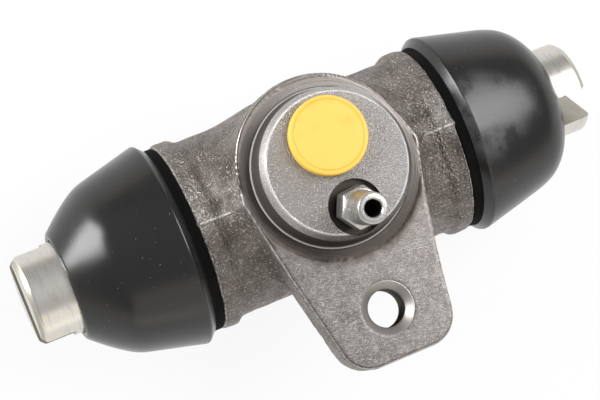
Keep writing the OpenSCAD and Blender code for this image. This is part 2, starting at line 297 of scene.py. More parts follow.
foot_r = pilot_r + pilot_root
pilot_profile = [(-2, axis_r), (-2, foot_r + 0.4), (-ring_depth - 0.12, foot_r + 0.4)]
pilot_profile += curve((-ring_depth, foot_r), (-ring_depth, foot_r - 0.2), (0.15, foot_r - 0.24), 6)
shoulder = pilot_h - chamfer_h
pilot_profile += curve((shoulder - 0.12, pilot_r + 0.01), (shoulder, pilot_r),
                       (shoulder + 0.12, pilot_r - 0.07), 4)
crown = pilot_r - chamfer_w
pilot_profile += curve((pilot_h - 0.14, crown + 0.08), (pilot_h, crown), (pilot_h, crown - 0.12), 4)
pilot_profile += [(pilot_h, crown / 2), (pilot_h, axis_r)]
pilot = lathe("pilot", pilot_profile, 30, 240)
stand_up(pilot, (0, 0, 0))
drill_from, drill_to, spot_to = -3, 8, 6
port_tool = [(drill_from, axis_r), (drill_from, port_r), (drill_to, port_r), (drill_to, axis_r)]
port_drill = lathe("port_drill", port_tool, 30, 96)
stand_up(port_drill, (0, port_y, 0))
cut_away(pilot, port_drill)
spot_tool = [(-shank_l, axis_r), (-shank_l, shank_r), (-0.25, shank_r), (0, shank_r + 0.25),
             (0, recess_r), (spot_to, recess_r), (spot_to, axis_r)]
spot_drill = lathe("spot_drill", spot_tool, 30, 96)
lean_in(spot_drill)
cut_away(pilot, spot_drill)

thread_pitch, thread_depth = 1.0, 0.25
mouth_depth = bolt_mouth_r - bolt_r
thread_profile = [(-0.05, bolt_mouth_r + 0.3), (0.0, bolt_mouth_r + 0.12), (-0.15, bolt_mouth_r - 0.08)]
thread_profile += [(-mouth_depth, bolt_r)]
crest = -mouth_depth - 0.3
while crest > thread_pitch - lug_t:
    thread_profile += [(crest, bolt_r), (crest - 0.5 * thread_pitch, bolt_r + thread_depth)]
    crest -= thread_pitch
thread_profile += [(crest, bolt_r), (0.05 - lug_t, bolt_mouth_r + 0.3)]
thread = lathe("bolt_thread", thread_profile, 30, 96)
stand_up(thread, (0, bolt_y, 0))


def feed(tree, socket, value):
    """Links another node's output to an input, or sets the input to a value."""
    if isinstance(value, bpy.types.NodeSocket):
        tree.links.new(value, socket)
    else:
        socket.default_value = value


def add(tree, kind, **settings):
    """Adds a node and sets its sockets: values are set, sockets of other nodes are linked."""
    made = tree.nodes.new(kind)
    for key, value in settings.items():
        if key.startswith("set_"):
            setattr(made, key[4:], value)
            continue
        name = int(key[3:]) if key.startswith("in_") and key[3:].isdigit() else key.replace("_", " ")
        feed(tree, made.inputs[name], value)
    return made


def sums(tree, operation, a, b=0.0, c=0.0):
    """One step of arithmetic between sockets or numbers."""
    return add(tree, "ShaderNodeMath", set_operation=operation, in_0=a, in_1=b, in_2=c).outputs[0]


def step_mask(tree, value, low, high):
    """A soft mask that goes from 0 at low to 1 at high."""
    made = add(tree, "ShaderNodeMapRange", set_interpolation_type="SMOOTHSTEP", Value=value)
    made.inputs["From Min"].default_value = low
    made.inputs["From Max"].default_value = high
    return made.outputs[0]


def free(tree, mask):
    """What a mask leaves free."""
    return sums(tree, "SUBTRACT", 1.0, mask)


def both(tree, a, b):
    """Where two masks overlap."""
    return sums(tree, "MULTIPLY", a, b)


def but(tree, a, b):
    """The part of mask a that mask b leaves free."""
    return both(tree, a, free(tree, b))


def tint(tree, mask, a, b):
    """Mixes two colours by a mask."""
    made = add(tree, "ShaderNodeMix", set_data_type="RGBA", in_0=mask)
    for index, value in ((6, a), (7, b)):
        feed(tree, made.inputs[index], (*value, 1) if isinstance(value, tuple) else value)
    return made.outputs[2]


def effect(name, inputs, outputs):
    """An empty shader node group with named sockets, and its two end nodes."""
    tree = bpy.data.node_groups.new(name, "ShaderNodeTree")
    for key, kind in inputs:
        tree.interface.new_socket(name=key, in_out="INPUT", socket_type=kind)
    for key, kind in outputs:
        tree.interface.new_socket(name=key, in_out="OUTPUT", socket_type=kind)
    return tree, tree.nodes.new("NodeGroupInput").outputs, tree.nodes.new("NodeGroupOutput").inputs


FLOAT, VECTOR = "NodeSocketFloat", "NodeSocketVector"
blast_grain, given, gives = effect(
    "blast_grain", (("Place", VECTOR), ("Grain per m", FLOAT)),
    (("Height", FLOAT), ("Glint", FLOAT), ("Stain", FLOAT)))
pits = add(blast_grain, "ShaderNodeTexVoronoi", Vector=given["Place"], Scale=given["Grain per m"])
fine = add(blast_grain, "ShaderNodeTexNoise", Vector=given["Place"], Scale=given["Grain per m"],
           Detail=3.0, Roughness=0.6)
broad = add(blast_grain, "ShaderNodeTexNoise", Vector=given["Place"], Scale=220.0,
            Detail=6.0, Roughness=0.7)
height = sums(blast_grain, "MULTIPLY_ADD", pits.outputs["Distance"], 0.6, fine.outputs[0])
blast_grain.links.new(height, gives["Height"])
blast_grain.links.new(step_mask(blast_grain, fine.outputs[0], 0.54, 0.7), gives["Glint"])
blast_grain.links.new(step_mask(blast_grain, broad.outputs[0], 0.3, 0.75), gives["Stain"])

scratch_web, given, gives = effect(
    "scratch_web", (("Place", VECTOR), ("Lines per m", FLOAT)), (("Lines", FLOAT),))
wander = add(scratch_web, "ShaderNodeTexNoise", Vector=given["Place"], Scale=given["Lines per m"],
             Detail=2.0, Distortion=1.6)
level = sums(scratch_web, "ABSOLUTE", sums(scratch_web, "SUBTRACT", wander.outputs[0], 0.5))
kept = add(scratch_web, "ShaderNodeTexNoise", Vector=given["Place"], Scale=330.0, Detail=3.0)
kept = step_mask(scratch_web, kept.outputs[0], 0.42, 0.62)
stroke = free(scratch_web, step_mask(scratch_web, level, 0.005, 0.03))
scratch_web.links.new(both(scratch_web, stroke, kept), gives["Lines"])

brush_marks, given, gives = effect(
    "brush_marks", (("Place", VECTOR), ("Turn", FLOAT)), (("Height", FLOAT),))
swung = add(brush_marks, "ShaderNodeVectorRotate", set_rotation_type="Z_AXIS",
            Vector=given["Place"], Angle=given["Turn"])
drawn = add(brush_marks, "ShaderNodeMapping", Vector=swung.outputs[0], Scale=(900.0, 6500.0, 900.0))
hatch = add(brush_marks, "ShaderNodeTexNoise", Vector=drawn.outputs[0], Scale=1.0, Detail=3.0)
brush_marks.links.new(hatch.outputs[0], gives["Height"])

turned_lines, given, gives = effect(
    "turned_lines", (("Distance", FLOAT), ("Lines per m", FLOAT)), (("Height", FLOAT),))
lines = add(turned_lines, "ShaderNodeTexNoise", set_noise_dimensions="1D", Detail=3.0, Scale=1.0,
            W=sums(turned_lines, "MULTIPLY", given["Distance"], given["Lines per m"]))
turned_lines.links.new(lines.outputs[0], gives["Height"])


def new_finish(name):
    """A material with its node tree, its shader, and the place of each point on the piece."""
    made = bpy.data.materials.new(name)
    made.use_nodes = True
    tree = made.node_tree
    place = tree.nodes.new("ShaderNodeTexCoord").outputs["Object"]
    return made, tree, tree.nodes["Principled BSDF"], place


def use(tree, group, **sockets):
    """Places one of the shared effects in a material."""
    made = tree.nodes.new("ShaderNodeGroup")
    made.node_tree = group
    for key, value in sockets.items():
        feed(tree, made.inputs[key.replace("_", " ")], value)
    return made.outputs


def paint(tree, shader, colour, roughness, metallic=0.0):
    """Gives the shader its colour, its roughness and its share of metal."""
    feed(tree, shader.inputs["Base Color"], colour)
    feed(tree, shader.inputs["Roughness"], roughness)
    shader.inputs["Metallic"].default_value = metallic


def bump(tree, shader, height, depth):
    """Feeds a height to the shader's normal; depth is in metres."""
    made = add(tree, "ShaderNodeBump", Height=height, Distance=depth, Strength=1.0)
    tree.links.new(made.outputs[0], shader.inputs["Normal"])


def line_mask(tree, value, at, width):
    """A thin soft line where a value passes a mark."""
    gap = sums(tree, "ABSOLUTE", sums(tree, "SUBTRACT", value, at))
    return free(tree, step_mask(tree, gap, width * 0.3, width))


iron, tree, shader, place = new_finish("raw_cast_iron")
part = add(tree, "ShaderNodeSeparateXYZ", Vector=place).outputs
flat = add(tree, "ShaderNodeCombineXYZ", X=part["X"], Y=part["Y"])
radius = add(tree, "ShaderNodeVectorMath", set_operation="LENGTH", in_0=flat.outputs[0]).outputs["Value"]
edge_gap = add(tree, "ShaderNodeAttribute", set_attribute_name="edge_gap").outputs["Fac"]
seam_gap = add(tree, "ShaderNodeAttribute", set_attribute_name="seam_gap").outputs["Fac"]
# Marks of the blasting, the grinding and the turning
grain = use(tree, blast_grain, Place=place, Grain_per_m=2300.0)
dots = use(tree, blast_grain, Place=place, Grain_per_m=3600.0)
web = use(tree, scratch_web, Place=place, Lines_per_m=900.0)
strokes = use(tree, brush_marks, Place=place, Turn=0.5)
cross_strokes = use(tree, brush_marks, Place=place, Turn=-0.7)
rings = use(tree, turned_lines, Distance=radius, Lines_per_m=5000.0)
# Where the ground face, the turned ring, the chamfer and the crown lie
face_mask = step_mask(tree, part["Z"], -0.0006, -0.0002)
wall_mask = step_mask(tree, part["Z"], 0.0001, 0.0004)
chamfer_mask = step_mask(tree, part["Z"], (shoulder - 0.05) * MM, (shoulder + 0.1) * MM)
crown_mask = step_mask(tree, part["Z"], (pilot_h - 0.2) * MM, (pilot_h - 0.06) * MM)
ring_end = sums(tree, "MULTIPLY_ADD", grain["Stain"], 0.0006, radius)
in_ring = free(tree, step_mask(tree, ring_end, (ring_r - 0.4) * MM, (ring_r + 2.4) * MM))
turned = but(tree, both(tree, face_mask, in_ring), chamfer_mask)
ground = but(tree, face_mask, in_ring)
chamfer = but(tree, chamfer_mask, crown_mask)
# Colours, from the raw skin to the worn edges
skin_dark, skin_grey, glint = (0.11, 0.094, 0.081), (0.235, 0.211, 0.191), (0.80, 0.76, 0.72)
colour = tint(tree, grain["Stain"], skin_dark, skin_grey)
hatch = sums(tree, "MAXIMUM", strokes["Height"], cross_strokes["Height"])
# Painted shade: the ground face of the lug is darker towards the left.
painted_left_shade = step_mask(tree, part["X"], -0.011, 0.012)
face_dark = tint(tree, painted_left_shade, (0.088, 0.079, 0.073), (0.125, 0.113, 0.105))
face = tint(tree, grain["Stain"], face_dark, (0.158, 0.145, 0.136))
face = tint(tree, step_mask(tree, hatch, 0.48, 0.76), face, (0.33, 0.312, 0.30))
colour = tint(tree, ground, colour, face)
# Painted light: the turned ring is lighter on its upper right side.
across = sums(tree, "MULTIPLY_ADD", part["X"], 0.5, part["Y"])
lit = but(tree, step_mask(tree, across, 0.002, 0.017), wall_mask)
# Painted shade: the turned ring and the wall of the pilot are darker towards -Y. The ring's dark tone is
# partly its smooth turned finish and partly painted shade round the foot of the pilot.
shaded = step_mask(tree, part["Y"], -0.014, -0.002)
cut_dark = tint(tree, shaded, (0.032, 0.027, 0.023), (0.066, 0.057, 0.052))
cut_light = tint(tree, shaded, (0.056, 0.048, 0.043), (0.10, 0.088, 0.08))
cut_tone = tint(tree, rings["Height"], cut_dark, cut_light)
cut_tone = tint(tree, lit, cut_tone, (0.16, 0.146, 0.136))
wall_tone = tint(tree, shaded, (0.12, 0.106, 0.097), (0.24, 0.218, 0.203))
colour = tint(tree, turned, colour, tint(tree, wall_mask, cut_tone, wall_tone))
# Painted highlight: the chamfer of the pilot is much lighter on its upper left side.
painted_highlight_upper_left = step_mask(tree, sums(tree, "MULTIPLY_ADD", part["X"], -0.5, part["Y"]), -0.009, 0.004)
bevel_dark = tint(tree, painted_highlight_upper_left, (0.15, 0.138, 0.13), (0.36, 0.345, 0.33))
bevel_light = tint(tree, painted_highlight_upper_left, (0.34, 0.32, 0.305), (0.78, 0.76, 0.74))
colour = tint(tree, chamfer, colour, tint(tree, dots["Glint"], bevel_dark, bevel_light))
# Painted shade: the crown of the pilot is darker towards the left, as the lug is.
crown_dark = tint(tree, painted_left_shade, (0.27, 0.254, 0.244), (0.41, 0.394, 0.383))
colour = tint(tree, crown_mask, colour, tint(tree, dots["Glint"], crown_dark, (0.66, 0.64, 0.625)))
# A band along the crest of the barrel, by the parting line, is lighter and has more bright grains: partly
# fettling, partly a painted highlight.
fettled_and_highlight_band = both(tree, step_mask(tree, part["Y"], -0.004, 0.001), step_mask(tree, part["Y"], 0.009, 0.003))
fettled_and_highlight_patches = but(tree, both(tree, fettled_and_highlight_band, grain["Stain"]), face_mask)
colour = tint(tree, fettled_and_highlight_patches, colour, (0.40, 0.372, 0.347))
sparkle = sums(tree, "MULTIPLY_ADD", fettled_and_highlight_band, 0.45, 0.5)
sparkle = but(tree, both(tree, grain["Glint"], sparkle), face_mask)
colour = tint(tree, sparkle, colour, glint)
# Painted shade: the recess round the bleed screw is dark.
spot_at = add(tree, "ShaderNodeVectorMath", set_operation="DISTANCE", in_0=flat.outputs[0],
              in_1=(0, (bleed_y - 0.15) * MM, 0)).outputs["Value"]
painted_recess_shade = free(tree, step_mask(tree, spot_at, (recess_r - 0.02) * MM, (recess_r + 0.16) * MM))
painted_recess_shade = both(tree, but(tree, painted_recess_shade, crown_mask), wall_mask)
colour = tint(tree, painted_recess_shade, colour, (0.05, 0.043, 0.037))
colour = tint(tree, both(tree, ground, sums(tree, "MULTIPLY", web["Lines"], 0.13)), colour, glint)
crown_line = both(tree, line_mask(tree, radius, crown * MM, 0.00026), chamfer_mask)
# Painted shade: a dark line in the corner at the foot of the pilot.
foot_shade_line = both(tree, line_mask(tree, radius, (foot_r - 0.12) * MM, 0.0004), face_mask)
foot_shade_line = but(tree, foot_shade_line, step_mask(tree, part["Z"], 0.0003, 0.0007))
colour = tint(tree, sums(tree, "MULTIPLY", foot_shade_line, 0.85), colour, (0.03, 0.026, 0.023))
edge_line = free(tree, step_mask(tree, edge_gap, 0.00005, 0.00027))
seam_line = free(tree, step_mask(tree, seam_gap, 0.00005, 0.0003))
broken = step_mask(tree, grain["Stain"], 0.45, 0.8)
seam_line = but(tree, both(tree, seam_line, broken), face_mask)
lines = sums(tree, "MAXIMUM", sums(tree, "MULTIPLY", edge_line, 0.55), seam_line)
worn = sums(tree, "MAXIMUM", sums(tree, "MULTIPLY", crown_line, 0.85), but(tree, lines, wall_mask))
colour = tint(tree, worn, colour, (0.85, 0.83, 0.80))
# Roughness and relief
polish = sums(tree, "MULTIPLY_ADD", fettled_and_highlight_band, 0.12, 0.17)
rough = sums(tree, "SUBTRACT", 0.42, both(tree, but(tree, grain["Glint"], face_mask), polish))
rough = sums(tree, "MULTIPLY_ADD", turned, -0.1, rough)
paint(tree, shader, colour, sums(tree, "MULTIPLY_ADD", foot_shade_line, 0.5, rough), 0.85)
relief = but(tree, grain["Height"], face_mask)
relief = sums(tree, "MULTIPLY_ADD", both(tree, dots["Height"], crown_mask), 0.5, relief)
relief = sums(tree, "MULTIPLY_ADD", both(tree, hatch, ground), 0.07, relief)
relief = sums(tree, "MULTIPLY_ADD", both(tree, rings["Height"], turned), 0.045, relief)
bump(tree, shader, relief, 0.00050)

# Painted shade: the thread of the bolt hole is dark, and lighter towards its mouth.
tapped, tree, shader, place = new_finish("tapped_hole_painted_shade")
grain = use(tree, blast_grain, Place=place, Grain_per_m=3000.0)
mouth = add(tree, "ShaderNodeSeparateXYZ", Vector=place).outputs["Z"]
mouth = step_mask(tree, mouth, -(mouth_depth + 0.1) * MM, -(mouth_depth - 0.2) * MM)
colour = tint(tree, grain["Stain"], (0.05, 0.043, 0.038), (0.12, 0.105, 0.095))
colour = tint(tree, mouth, colour, (0.36, 0.34, 0.32))
paint(tree, shader, colour, sums(tree, "MULTIPLY_ADD", grain["Glint"], -0.1, 0.42), 0.8)

for piece, finish in ((casting, iron), (pilot, iron), (thread, tapped)):
    piece.data.materials.append(finish)
    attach(piece, "housing")
    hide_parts("cylinder_body")


# Boots: two like mouldings in black rubber. A collar grips the neck of the casting beside
# the lip, a bevelled rim stands proud of it, and the skirt narrows to a mouth on the nose.
collar_r, collar_w, bevel_w, rim_r = 18.2, 1.9, 1.4, 19.9
# Length, start of the front, drop of the skirt, drop of the front and its rounding
boot_fronts = {"left": (24.4, 16.1, 3.2, 2.9, 3.7), "right": (24.0, 16.4, 3.1, 1.9, 2.3)}
mouth_r, mouth_lip, boot_wall = 9.25, 1.3, 1.8


def boot_profile(boot_l, skirt_at, skirt_drop, front_drop, front_round):
    """Outside of the boot from its collar to its mouth, then back along the inside."""
    rim_at = collar_w + bevel_w
    skirt_r = rim_r - skirt_drop
    front_r = mouth_r + mouth_lip
    pull = (boot_l - front_round, skirt_r - front_drop)
    hold_r = neck_r + 0.03
    outside = [(0.03, hold_r), (0.03, collar_r - 0.2), (0.2, collar_r), (collar_w - 0.3, collar_r)]
    outside += curve((collar_w - 0.1, collar_r + 0.05), (collar_w, collar_r + 0.1),
                     (collar_w + 0.2, collar_r + 0.4), 4)
    outside += curve((rim_at - 0.25, rim_r - 0.35), (rim_at, rim_r), (rim_at + 0.45, rim_r - 0.06), 6)
    skirt_slope = skirt_drop / (skirt_at - rim_at)
    front_slope = front_drop / (boot_l - front_round - skirt_at)
    outside += curve((skirt_at - 1.6, skirt_r + 1.6 * skirt_slope), (skirt_at, skirt_r),
                     (skirt_at + 1.4, skirt_r - 1.4 * front_slope), 10)
    outside += curve((skirt_at + 1.6, skirt_r - 1.6 * front_slope), pull, (boot_l - 0.25, front_r), 24)
    outside += curve((boot_l - 0.1, front_r - 0.3), (boot_l, front_r - 0.6),
                     (boot_l - 0.05, mouth_r + 0.35), 5)
    outside += [(boot_l - 0.3, mouth_r), (boot_l - 1.4, mouth_r)]
    inside = curve((boot_l - 1.5, front_r - 0.5), (pull[0] - boot_wall, pull[1] - boot_wall),
                   (skirt_at - 0.4, skirt_r - boot_wall), 10)
    inside += [(rim_at + 0.9, rim_r - boot_wall - 0.6), (neck_x - lip_x + 0.3, hold_r)]
    return outside + inside


def to_end(piece, side, x):
    """Moves a piece made along X onto the bore's axis, and mirrors it for the left end."""
    piece.data.transform(Matrix.Translation((x * MM, bore_y * MM, bore_z * MM)))
    if side < 0:
        piece.data.transform(Matrix.Scale(-1, 4, (1, 0, 0)))
        piece.data.flip_normals()


dust_film, given, gives = effect(
    "dust_film", (("Place", VECTOR), ("Patch per m", FLOAT)),
    (("Patch", FLOAT), ("Dust", FLOAT), ("Specks", FLOAT)))
patch = add(dust_film, "ShaderNodeTexNoise", Vector=given["Place"], Scale=given["Patch per m"],
            Detail=5.0, Roughness=0.6)
dots = add(dust_film, "ShaderNodeTexVoronoi", Vector=given["Place"], Scale=700.0)
size_of = add(dust_film, "ShaderNodeTexNoise", Vector=given["Place"], Scale=420.0)
speck = sums(dust_film, "MULTIPLY", size_of.outputs[0], 0.16)
speck = sums(dust_film, "SUBTRACT", speck, dots.outputs["Distance"])
dust_film.links.new(patch.outputs[0], gives["Patch"])
dust_film.links.new(step_mask(dust_film, patch.outputs[0], 0.5, 0.75), gives["Dust"])
dust_film.links.new(step_mask(dust_film, speck, 0.0, 0.03), gives["Specks"])

rubber, tree, shader, place = new_finish("black_boot_rubber")
film = use(tree, dust_film, Place=place, Patch_per_m=160.0)
grain = use(tree, blast_grain, Place=place, Grain_per_m=5000.0)
smudge_at = (0.0325, -0.0015, -0.0025)
smudge = add(tree, "ShaderNodeVectorMath", set_operation="DISTANCE", in_0=place, in_1=smudge_at)
near = free(tree, step_mask(tree, smudge.outputs["Value"], 0.0045, 0.0105))
blotch = step_mask(tree, film["Patch"], 0.38, 0.66)
dull = both(tree, near, sums(tree, "MULTIPLY_ADD", blotch, 0.85, 0.15))
black, smoked, dusty = (0.0085, 0.008, 0.0075), (0.09, 0.087, 0.091), (0.2, 0.195, 0.19)
colour = tint(tree, dull, black, smoked)
colour = tint(tree, sums(tree, "MULTIPLY", film["Specks"], 0.5), colour, dusty)
satin = sums(tree, "MULTIPLY_ADD", blotch, 0.05, 0.22)
paint(tree, shader, colour, sums(tree, "MULTIPLY_ADD", both(tree, near, blotch), 0.13, satin))
bump(tree, shader, grain["Height"], 0.000010)

# Painted shade: the collar in the gap beside the lip is near black and matt, with little gloss.
collar_shade_rubber, tree, shader, place = new_finish("painted_shade_collar")
film = use(tree, dust_film, Place=place, Patch_per_m=160.0)
colour = tint(tree, film["Dust"], (0.003, 0.003, 0.003), (0.007, 0.0065, 0.006))
paint(tree, shader, colour, sums(tree, "MULTIPLY_ADD", film["Patch"], 0.1, 0.8))
shader.inputs["Specular IOR Level"].default_value = 0.08

for end, side in (("left", -1), ("right", 1)):
    boot = lathe(end + "_rubber_boot", boot_profile(*boot_fronts[end]))
    to_end(boot, side, lip_x)
    boot.data.materials.append(rubber)
    boot.data.materials.append(collar_shade_rubber)
    # The collar's faces take this near-black painted shade.
    for polygon in boot.data.polygons:
        polygon.material_index = 1 if abs(polygon.center.x) < (lip_x + collar_w + 0.1) * MM else 0
    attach(boot, "housing")
    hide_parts(end + "_boot")


# Pistons: turned from steel bar, zinc plated with a faint yellow cast. The head runs in the
# bore; the nose comes out of the boot and is milled across with a slot for the brake shoe.
nose_r, nose_x, nose_chamfer, head_l = 9.0, 56.3, 0.9, 12.0
slot_w, slot_depth = 6.2, 6.4
# Side, how far each piston rests out of its middle place, and the turn of its slot
ends = {"left": (-1, 2.0, 0.0), "right": (1, 0.0, math.radians(-57))}


def piston_profile():
    """Closed profile of the piston on the axis, at the right end."""
    head_in = neck_x - 1.2 - head_l
    head_out = head_in + head_l
    head_r = bore_r - 0.05
    head_chamfer = 0.6
    profile = [(head_in, axis_r), (head_in, head_r - head_chamfer), (head_in + head_chamfer, head_r)]
    profile += [(head_out - head_chamfer, head_r), (head_out, head_r - head_chamfer)]
    profile += curve((head_out, nose_r + 1), (head_out, nose_r), (head_out + 1, nose_r), 5)
    chamfer_at = nose_x - nose_chamfer
    profile += curve((chamfer_at - 0.35, nose_r), (chamfer_at, nose_r),
                     (chamfer_at + 0.25, nose_r - 0.3), 5)
    profile += curve((nose_x - 0.25, nose_r - nose_chamfer + 0.25), (nose_x, nose_r - nose_chamfer),
                     (nose_x, nose_r - nose_chamfer - 0.35), 5)
    return profile + [(nose_x, axis_r)]


def slot_cutter(turn):
    """A block the size of the slot, turned about the X axis."""
    low, high = (nose_x - slot_depth, -12, -slot_w / 2), (nose_x + 1, 12, slot_w / 2)
    corners = [(x, y, z) for x in (low[0], high[0]) for y in (low[1], high[1]) for z in (low[2], high[2])]
    block = solid_piece("slot_cutter", corners, [(0, 1, 3, 2), (4, 6, 7, 5), (0, 4, 5, 1),
                                                 (2, 3, 7, 6), (0, 2, 6, 4), (1, 5, 7, 3)])
    block.data.transform(Matrix.Rotation(turn, 4, "X"))
    return block


plating, tree, shader, place = new_finish("zinc_plated_steel")
part = add(tree, "ShaderNodeSeparateXYZ", Vector=place).outputs
lines = use(tree, turned_lines, Distance=part["X"], Lines_per_m=3800.0)
marks = use(tree, dust_film, Place=place, Patch_per_m=240.0)
smear = add(tree, "ShaderNodeTexNoise", Scale=1.0, Detail=3.0, Vector=add(
    tree, "ShaderNodeMapping", Vector=place, Scale=(2200.0, 260.0, 260.0)).outputs[0])
colour = tint(tree, marks["Dust"], (0.67, 0.645, 0.59), (0.71, 0.66, 0.52))
colour = tint(tree, step_mask(tree, smear.outputs[0], 0.5, 0.75), colour, (0.56, 0.57, 0.595))
paint(tree, shader, colour, sums(tree, "MULTIPLY_ADD", smear.outputs[0], 0.3, 0.16), 1.0)
bump(tree, shader, lines["Height"], 0.000006)

milled, tree, shader, place = new_finish("milled_slot")
marks = use(tree, dust_film, Place=place, Patch_per_m=700.0)
cuts = use(tree, brush_marks, Place=place, Turn=0.3)
colour = tint(tree, marks["Patch"], (0.50, 0.47, 0.40), (0.38, 0.36, 0.31))
paint(tree, shader, colour, sums(tree, "MULTIPLY_ADD", marks["Patch"], 0.2, 0.3), 0.9)
bump(tree, shader, cuts["Height"], 0.000015)

for end, (side, out, turn) in ends.items():
    piston = lathe(end + "_plated_piston", piston_profile(), 30)
    cut_away(piston, slot_cutter(turn))
    to_end(piston, side, out)
    piston.data.materials.append(plating)
    piston.data.materials.append(milled)
    for polygon in piston.data.polygons:
        x, y, z = polygon.center / MM
        off_axis = math.hypot(y - bore_y, z - bore_z)
        in_slot = abs(x) > nose_x + out - slot_depth - 0.1 and off_axis < nose_r - 0.4
        end_face = abs(x) > nose_x + out - 0.05
        polygon.material_index = 1 if in_slot and not end_face else 0
    edge = piston.modifiers.new("broken_edges", "BEVEL")
    edge.width = 0.00018
    edge.segments = 2
    edge.limit_method = "ANGLE"
    edge.angle_limit = math.radians(40)
    edge.harden_normals = True
    edge.material = 1
    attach(piston, end + "_plunger")
    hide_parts(end + "_piston")


# Cups, expanders and return spring: the sealed inner works. The cups are moulded rubber and
# the expanders pressed sheet, both as the solids made them. The spring is drawn wire, wound
# in two halves that meet at mid length.
wire_r, coil_r, coil_turns, coil_steps, wire_sides = 0.6, 6.0, 5, 48, 14


def dress(node, finish):
    """Gives a solid of the frame its finish."""
    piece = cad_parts[node]
    piece.data.materials.clear()
    piece.data.materials.append(finish)


wire, tree, shader, place = new_finish("drawn_spring_wire")
marks = use(tree, dust_film, Place=place, Patch_per_m=300.0)
colour = tint(tree, marks["Dust"], (0.30, 0.30, 0.31), (0.20, 0.18, 0.16))
paint(tree, shader, colour, sums(tree, "MULTIPLY_ADD", marks["Dust"], 0.25, 0.28), 1.0)
for end in ends:
    dress(end + "_cup", rubber)
    dress(end + "_expander", plating)

spring_low, spring_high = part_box("return_spring")
spring_from = spring_low[0] / MM + wire_r
spring_run = spring_high[0] / MM - wire_r - spring_from


def coil(name, first, last):
    """The spring's wire between two shares of its run, with closed ends."""
    count = round((last - first) * coil_turns * coil_steps)
    share = np.linspace(first, last, count + 1)[:, None]
    around = np.linspace(0, 2 * math.pi, wire_sides, endpoint=False)[None, :]
    swing = 2 * math.pi * coil_turns * share
    off = coil_r + wire_r * np.cos(around)
    x = spring_from + spring_run * share + wire_r * np.sin(around)
    points = np.stack((x, bore_y + off * np.cos(swing), bore_z + off * np.sin(swing)), 2)
    top = count * wire_sides
    faces = [tuple(range(wire_sides)), tuple(range(top + wire_sides - 1, top - 1, -1))]
    for i in range(count):
        for j in range(wire_sides):
            k = (j + 1) % wire_sides
            low_row, high_row = i * wire_sides, (i + 1) * wire_sides
            faces.append((high_row + j, high_row + k, low_row + k, low_row + j))
    return solid_piece(name, points.reshape(-1, 3), faces, 60)


left_half = coil("left_spring_half", 0.0, 0.5)
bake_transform(left_half)
right_half = coil("right_spring_half", 0.5, 1.0)
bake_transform(right_half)
for half in (left_half, right_half):
    half.data.materials.append(wire)
    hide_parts("return_spring")


# Bleed screw: turned steel, plated, with a hexagon for the spanner and a drilled nipple for
# the hose. It leans towards the lug and seats on a cone at the bottom of its thread.
hex_w, hex_h, hex_stand, hex_turn = 7.0, 4.8, 1.4, math.radians(6 - 90)
nipple_l, nipple_root_r, tip_r, drill_r = 7.0, 3.15, 2.9, 1.6
thread_r, seat_r, seat_h = 2.95, 1.1, 0.9
hex_top = hex_stand + hex_h
nipple_top = hex_top + nipple_l
angles = np.linspace(0, 2 * math.pi, 192, endpoint=False)
sector = np.mod(angles - hex_turn, math.pi / 3) - math.pi / 6
hex_r = np.minimum(hex_w / 2 / np.cos(sector), hex_w / 2 / math.cos(math.pi / 6) - 0.08)
chamfer_r = hex_w / 2 - 0.15
slant = hex_top - np.maximum(hex_r - chamfer_r, 0) * 0.55
circle = np.ones_like(angles)
screw_rings = [(circle * -shank_l - seat_h, circle * axis_r), (circle * -shank_l - seat_h, circle * seat_r),
               (circle * -shank_l + seat_h, circle * thread_r), (circle * hex_stand, circle * thread_r),
               (circle * hex_stand, hex_r - 0.15), (circle * hex_stand + 0.15, hex_r),
               (slant - 0.12, hex_r), (slant - 0.02, hex_r - 0.07), (circle * hex_top, circle * chamfer_r)]
nipple = [(hex_top, nipple_root_r + 0.2), (hex_top + 0.06, nipple_root_r + 0.06)]
nipple += [(hex_top + 0.25, nipple_root_r)]
nipple += curve((nipple_top - 0.9, tip_r), (nipple_top, tip_r - 0.05), (nipple_top, tip_r - 0.55), 7)
nipple += [(nipple_top, drill_r + 0.2), (nipple_top - 0.2, drill_r), (nipple_top - 0.5, drill_r - 0.02)]
nipple += [(hex_top + 0.3, drill_r - 0.02), (hex_top - 0.6, axis_r)]
screw_rings += [(circle * z, circle * r) for z, r in nipple]
screw_points = np.stack([np.stack((z, r * np.cos(angles), r * np.sin(angles)), 1) for z, r in screw_rings])
sides = len(angles)
screw_faces = [(k * sides + i, k * sides + (i + 1) % sides,
                (k + 1) * sides + (i + 1) % sides, (k + 1) * sides + i)
               for k in range(len(screw_rings) - 1) for i in range(sides)]
screw = solid_piece("plated_bleed_screw", screw_points.reshape(-1, 3), screw_faces, 28)
lean_in(screw)

dull_zinc, tree, shader, place = new_finish("dull_zinc")
marks = use(tree, dust_film, Place=place, Patch_per_m=500.0)
grain = use(tree, blast_grain, Place=place, Grain_per_m=6000.0)
colour = tint(tree, marks["Patch"], (0.60, 0.585, 0.56), (0.34, 0.325, 0.305))
paint(tree, shader, colour, sums(tree, "MULTIPLY_ADD", marks["Patch"], 0.2, 0.18), 0.85)
bump(tree, shader, grain["Height"], 0.000012)

# Painted shade: the drilling down the nipple is near black.
nipple_hole_shade, tree, shader, place = new_finish("painted_shade_drilling")
marks = use(tree, dust_film, Place=place, Patch_per_m=600.0)
paint(tree, shader, tint(tree, marks["Dust"], (0.012, 0.011, 0.010), (0.03, 0.026, 0.022)), 0.8)

screw.data.materials.append(dull_zinc)
screw.data.materials.append(nipple_hole_shade)
# The faces of the drilling take the painted shade.
hole_rings = 3
hole_from = (len(screw_rings) - hole_rings) * sides
for polygon in screw.data.polygons:
    polygon.material_index = 1 if polygon.index >= hole_from else 0
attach(screw, "bleeder")
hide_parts("bleed_screw")


